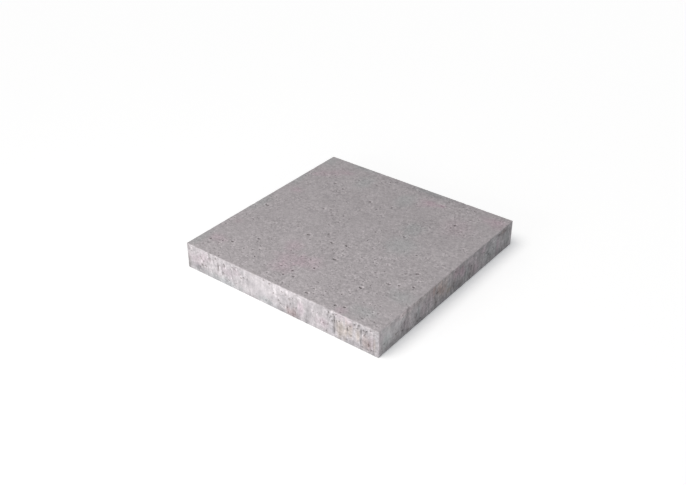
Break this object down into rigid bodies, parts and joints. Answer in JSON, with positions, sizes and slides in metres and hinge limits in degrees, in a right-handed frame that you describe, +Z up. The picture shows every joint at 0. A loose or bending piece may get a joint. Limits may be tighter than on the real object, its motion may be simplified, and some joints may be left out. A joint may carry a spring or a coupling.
{
  "type": "concrete paving slab",
  "caption": "Square slab of pressed concrete with a flat, fine-grained face and plain unchamfered edges, laid flat on a bed to pave paths, yards and terraces.",
  "frame": {"origin": "middle of the bedding face, on the surface that the slab lies on", "axes": "+Z up, from the bedding face to the wearing face; +X and +Y along the sides of the square"},
  "size_m": [0.5, 0.5, 0.06],
  "materials": {
    "concrete": "matte, fine-grained pressed concrete"
  },
  "bodies": {
    "root": {"slab": "concrete"}
  },
  "joints": []
}
